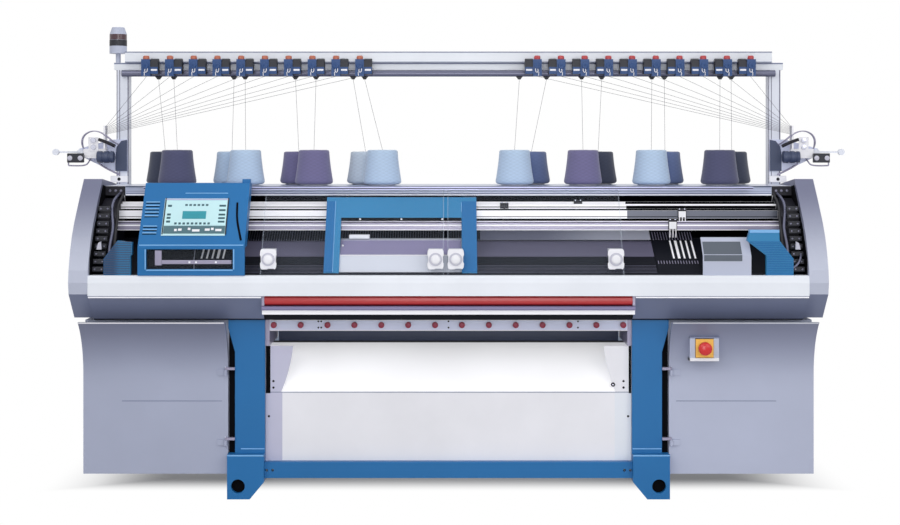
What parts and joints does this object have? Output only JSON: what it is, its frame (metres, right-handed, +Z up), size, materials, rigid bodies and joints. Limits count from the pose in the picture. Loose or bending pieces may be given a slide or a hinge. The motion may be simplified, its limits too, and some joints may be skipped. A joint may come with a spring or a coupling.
{
  "type": "flat knitting machine",
  "caption": "Large computerised flat knitting machine with sliding covers, carriage, yarn cones on top, fabric chute and side cabinets.",
  "frame": {"origin": "centre of the machine's footprint, on the floor", "axes": "+X to the right seen from the front, +Y towards the back, +Z up"},
  "size_m": [3.838, 0.92, 2.206],
  "materials": {
    "machine_blue": "satin",
    "beam_blue": "satin",
    "panel_grey": "satin",
    "cheek_grey": "satin",
    "pale_rail": "satin",
    "white_metal": "satin",
    "red_metal": "satin",
    "dark_red": "matt",
    "aluminium": "satin",
    "steel": "brushed",
    "chrome": "polished",
    "black_metal": "satin",
    "clear_cover": "clear",
    "white_plastic": "matt",
    "screen": "gloss",
    "yellow_plastic": "matt",
    "red_plastic": "gloss",
    "orange_plastic": "gloss",
    "black_plastic": "matt",
    "rubber": "matt",
    "yarn_dark": "matt",
    "yarn_light": "matt",
    "yarn_violet": "matt",
    "yarn_white": "matt"
  },
  "bodies": {
    "frame": {"feet": "machine_blue", "legs": "machine_blue", "end_cheeks": "cheek_grey", "cross_beams": "machine_blue", "bed_girders": "steel", "front_rail": "pale_rail", "lower_panels": "panel_grey", "engaging_ledge": "aluminium", "needle_bed_front": "steel", "needle_bed_rear": "steel", "carriage_guides": "steel", "end_housings": "machine_blue", "feeder_rails": "chrome", "rail_holders": "black_metal", "bed_guards": "panel_grey", "cover_track": "aluminium", "cabinets": "panel_grey", "small_brackets": "steel", "takedown_strip": "aluminium", "takedown_adjusters": "dark_red", "fabric_chute": "white_metal", "front_panel": "white_metal", "rear_cover": "panel_grey", "cone_table": "cheek_grey", "posts": "aluminium", "top_bar": "pale_rail", "top_tube": "chrome", "control_units": "machine_blue", "unit_drums": "black_plastic", "unit_caps": "orange_plastic", "cones_dark": "yarn_dark", "cones_light": "yarn_light", "cones_violet": "yarn_violet", "yarns": "yarn_white", "beacon_body": "panel_grey", "beacon_lens": "dark_red", "tensioner_brackets": "black_metal", "tensioner_houses": "white_plastic"},
    "carriage": {"carriage_bow": "beam_blue", "carriage_boxes": "panel_grey"},
    "engaging_bar": {"engaging_bar": "red_metal"},
    "door_left": {"door_left": "panel_grey"},
    "door_right": {"door_right": "panel_grey", "estop_box": "yellow_plastic"},
    "estop_button": {"estop_button": "red_plastic"},
    "cover_left": {"cover_left": "clear_cover", "latches_left": "white_plastic"},
    "cover_right": {"cover_right": "clear_cover", "latches_right": "white_plastic"},
    "control_panel": {"panel_hood": "machine_blue", "hood_window": "clear_cover", "panel_screen": "screen"},
    "takedown_roller": {"takedown_roller": "rubber"},
    "pressing_roller": {"pressing_roller": "steel"},
    "feeder_1": {"yarn_feeder_1": "black_metal"},
    "feeder_2": {"yarn_feeder_2": "black_metal"},
    "feeder_3": {"yarn_feeder_3": "black_metal"},
    "feeder_4": {"yarn_feeder_4": "black_metal"},
    "arm_left": {"tension_arm_left": "black_metal"},
    "arm_right": {"tension_arm_right": "black_metal"}
  },
  "joints": [
    {"name": "carriage_slide", "type": "slide", "parent": "frame", "child": "carriage", "axis": [1, 0, 0], "range_m": [-0.78, 1.22]},
    {"name": "bar_turn", "type": "hinge", "parent": "frame", "child": "engaging_bar", "pos_m": [0, -0.425, 0.921], "axis": [1, 0, 0], "range_deg": [-15, 15]},
    {"name": "door_left_swing", "type": "hinge", "parent": "frame", "child": "door_left", "pos_m": [-1.03, -0.322, 0.46], "axis": [0, 0, 1], "range_deg": [0, 70]},
    {"name": "door_right_swing", "type": "hinge", "parent": "frame", "child": "door_right", "pos_m": [1.03, -0.322, 0.46], "axis": [0, 0, -1], "range_deg": [0, 70]},
    {"name": "estop_press", "type": "slide", "parent": "door_right", "child": "estop_button", "axis": [0, 1, 0], "range_m": [0, 0.005], "stiffness_N_per_m": 2000},
    {"name": "cover_left_slide", "type": "slide", "parent": "frame", "child": "cover_left", "axis": [1, 0, 0], "range_m": [-0.28, 0]},
    {"name": "cover_right_slide", "type": "slide", "parent": "frame", "child": "cover_right", "axis": [1, 0, 0], "range_m": [0, 0.34]},
    {"name": "panel_slide", "type": "slide", "parent": "frame", "child": "control_panel", "axis": [1, 0, 0], "range_m": [-0.02, 1.2]},
    {"name": "takedown_turn", "type": "hinge", "parent": "frame", "child": "takedown_roller", "pos_m": [0, -0.0505, 0.775], "axis": [1, 0, 0], "continuous": true},
    {"name": "pressing_turn", "type": "hinge", "parent": "frame", "child": "pressing_roller", "pos_m": [0, 0.0005, 0.775], "axis": [1, 0, 0], "continuous": true},
    {"name": "feeder_1_slide", "type": "slide", "parent": "frame", "child": "feeder_1", "axis": [1, 0, 0], "range_m": [-2, 0.3]},
    {"name": "feeder_2_slide", "type": "slide", "parent": "frame", "child": "feeder_2", "axis": [1, 0, 0], "range_m": [-2.05, 0.25]},
    {"name": "feeder_3_slide", "type": "slide", "parent": "frame", "child": "feeder_3", "axis": [1, 0, 0], "range_m": [-1.2, 0.9]},
    {"name": "feeder_4_slide", "type": "slide", "parent": "frame", "child": "feeder_4", "axis": [1, 0, 0], "range_m": [-1.5, 0.6]},
    {"name": "arm_left_swing", "type": "hinge", "parent": "frame", "child": "arm_left", "pos_m": [-1.786, 0.04, 1.596], "axis": [0, 1, 0], "range_deg": [-25, 25]},
    {"name": "arm_right_swing", "type": "hinge", "parent": "frame", "child": "arm_right", "pos_m": [1.786, 0.04, 1.596], "axis": [0, 1, 0], "range_deg": [-25, 25]}
  ],
  "couplings": [
    {"joint": "pressing_turn", "follows": "takedown_turn", "ratio": -1.5}
  ]
}
